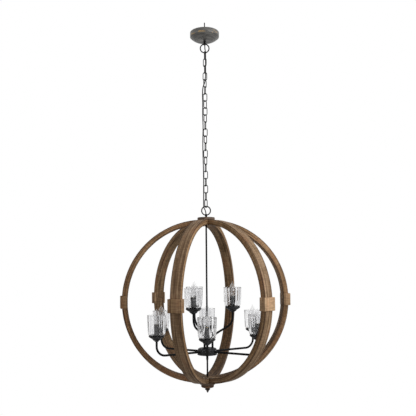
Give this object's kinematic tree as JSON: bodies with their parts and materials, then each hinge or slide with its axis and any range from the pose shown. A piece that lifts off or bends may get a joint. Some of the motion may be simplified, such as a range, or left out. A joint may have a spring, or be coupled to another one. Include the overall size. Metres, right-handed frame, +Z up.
{
  "type": "orb chandelier",
  "caption": "Open spherical chandelier of bent wooden ribs on a chain and canopy, with two tiers of curved metal arms that carry clear glass cups round candle bulbs.",
  "frame": {"origin": "middle of the canopy's rim at the ceiling, between the crossbar's two screw slots", "axes": "+Z up into the ceiling, -Y towards the front of the light, +X to its right as seen from the front"},
  "size_m": [0.8074, 0.7862, 1.7705],
  "materials": {
    "zinc_steel": "zinc plated",
    "canopy_metal": "dark grey-bronze satin",
    "black_metal": "matte black",
    "chain_metal": "dark bronze",
    "cord_jacket": "matte black jacket",
    "rib_wood": "weathered oak, dark oiled",
    "collar_wood": "weathered oak, lighter",
    "plate_wood": "weathered oak",
    "dark_wood": "dark stained wood",
    "shade_glass": "clear pressed glass",
    "bulb_glass": "clear glass candle bulb",
    "socket_plastic": "moulded black",
    "sleeve_black": "matte black candle sleeve"
  },
  "bodies": {
    "ceiling": {"ceiling_crossbar": "zinc_steel", "threaded_nipple": "zinc_steel", "nipple_locknuts": "zinc_steel", "canopy": "canopy_metal", "canopy_loop": "black_metal", "supply_cord": "cord_jacket"},
    "chain_1": {"chain_stretch_01": "chain_metal"},
    "chain_2": {"chain_stretch_02": "chain_metal"},
    "chain_3": {"chain_stretch_03": "chain_metal"},
    "chain_4": {"chain_stretch_04": "chain_metal"},
    "chain_5": {"chain_stretch_05": "chain_metal"},
    "chain_6": {"chain_stretch_06": "chain_metal"},
    "chain_7": {"chain_stretch_07": "chain_metal"},
    "chain_8": {"chain_stretch_08": "chain_metal"},
    "chain_9": {"chain_stretch_09": "chain_metal"},
    "chain_10": {"chain_stretch_10": "chain_metal"},
    "orb": {"orb_loop": "black_metal", "top_plate": "plate_wood", "bottom_plate": "plate_wood", "bottom_disc": "dark_wood", "finial": "dark_wood", "centre_rod": "black_metal", "hub_body": "black_metal", "hub_cover": "black_metal", "hub_nuts": "black_metal", "arm_locknuts": "zinc_steel", "lower_arms": "black_metal", "upper_arms": "black_metal", "cup_dishes": "black_metal", "glass_shades": "shade_glass", "lamp_sockets": "socket_plastic", "candle_sleeves": "sleeve_black", "upper_rib_1": "rib_wood", "lower_rib_1": "rib_wood", "rib_collar_1": "collar_wood", "upper_rib_2": "rib_wood", "lower_rib_2": "rib_wood", "rib_collar_2": "collar_wood", "upper_rib_3": "rib_wood", "lower_rib_3": "rib_wood", "rib_collar_3": "collar_wood", "upper_rib_4": "rib_wood", "lower_rib_4": "rib_wood", "rib_collar_4": "collar_wood", "upper_rib_5": "rib_wood", "lower_rib_5": "rib_wood", "rib_collar_5": "collar_wood", "upper_rib_6": "rib_wood", "lower_rib_6": "rib_wood", "rib_collar_6": "collar_wood"},
    "bulb_1": {"candle_bulb_1": "bulb_glass"},
    "bulb_2": {"candle_bulb_2": "bulb_glass"},
    "bulb_3": {"candle_bulb_3": "bulb_glass"},
    "bulb_4": {"candle_bulb_4": "bulb_glass"},
    "bulb_5": {"candle_bulb_5": "bulb_glass"},
    "bulb_6": {"candle_bulb_6": "bulb_glass"},
    "bulb_7": {"candle_bulb_7": "bulb_glass"},
    "bulb_8": {"candle_bulb_8": "bulb_glass"},
    "bulb_9": {"candle_bulb_9": "bulb_glass"}
  },
  "joints": [
    {"name": "chain_swing_01", "type": "hinge", "parent": "ceiling", "child": "chain_1", "pos_m": [0, 0, -0.09675], "axis": [1, 0, 0], "range_deg": [-12, 12], "deforming": ["supply_cord"]},
    {"name": "chain_swing_02", "type": "hinge", "parent": "chain_1", "child": "chain_2", "pos_m": [0, 0, -0.1301], "axis": [0.1736, 0.9848, 0], "range_deg": [-12, 12]},
    {"name": "chain_swing_03", "type": "hinge", "parent": "chain_2", "child": "chain_3", "pos_m": [0, 0, -0.2324], "axis": [-0.9848, 0.1736, 0], "range_deg": [-12, 12]},
    {"name": "chain_swing_04", "type": "hinge", "parent": "chain_3", "child": "chain_4", "pos_m": [0, 0, -0.3006], "axis": [-0.2588, 0.9659, 0], "range_deg": [-12, 12]},
    {"name": "chain_swing_05", "type": "hinge", "parent": "chain_4", "child": "chain_5", "pos_m": [0, 0, -0.4029], "axis": [-0.9659, 0.2588, 0], "range_deg": [-12, 12]},
    {"name": "chain_swing_06", "type": "hinge", "parent": "chain_5", "child": "chain_6", "pos_m": [0, 0, -0.4711], "axis": [-0.2588, 0.9659, 0], "range_deg": [-12, 12]},
    {"name": "chain_swing_07", "type": "hinge", "parent": "chain_6", "child": "chain_7", "pos_m": [0, 0, -0.6075], "axis": [-0.9659, 0.2588, 0], "range_deg": [-12, 12]},
    {"name": "chain_swing_08", "type": "hinge", "parent": "chain_7", "child": "chain_8", "pos_m": [0, 0, -0.6757], "axis": [-0.2588, 0.9659, 0], "range_deg": [-12, 12]},
    {"name": "chain_swing_09", "type": "hinge", "parent": "chain_8", "child": "chain_9", "pos_m": [0, 0, -0.778], "axis": [-0.9659, 0.2588, 0], "range_deg": [-12, 12]},
    {"name": "chain_swing_10", "type": "hinge", "parent": "chain_9", "child": "chain_10", "pos_m": [0, 0, -0.8121], "axis": [-0.2588, 0.9659, 0], "range_deg": [-12, 12]},
    {"name": "chain_swing_11", "type": "hinge", "parent": "chain_10", "child": "orb", "pos_m": [0, 0, -0.8462], "axis": [0.6428, 0.766, 0], "range_deg": [-12, 12]},
    {"name": "bulb_1_out", "type": "slide", "parent": "orb", "child": "bulb_1", "axis": [0, 0, 1], "range_m": [0, 0.065]},
    {"name": "bulb_2_out", "type": "slide", "parent": "orb", "child": "bulb_2", "axis": [0, 0, 1], "range_m": [0, 0.065]},
    {"name": "bulb_3_out", "type": "slide", "parent": "orb", "child": "bulb_3", "axis": [0, 0, 1], "range_m": [0, 0.065]},
    {"name": "bulb_4_out", "type": "slide", "parent": "orb", "child": "bulb_4", "axis": [0, 0, 1], "range_m": [0, 0.065]},
    {"name": "bulb_5_out", "type": "slide", "parent": "orb", "child": "bulb_5", "axis": [0, 0, 1], "range_m": [0, 0.065]},
    {"name": "bulb_6_out", "type": "slide", "parent": "orb", "child": "bulb_6", "axis": [0, 0, 1], "range_m": [0, 0.065]},
    {"name": "bulb_7_out", "type": "slide", "parent": "orb", "child": "bulb_7", "axis": [0, 0, 1], "range_m": [0, 0.065]},
    {"name": "bulb_8_out", "type": "slide", "parent": "orb", "child": "bulb_8", "axis": [0, 0, 1], "range_m": [0, 0.065]},
    {"name": "bulb_9_out", "type": "slide", "parent": "orb", "child": "bulb_9", "axis": [0, 0, 1], "range_m": [0, 0.065]}
  ]
}
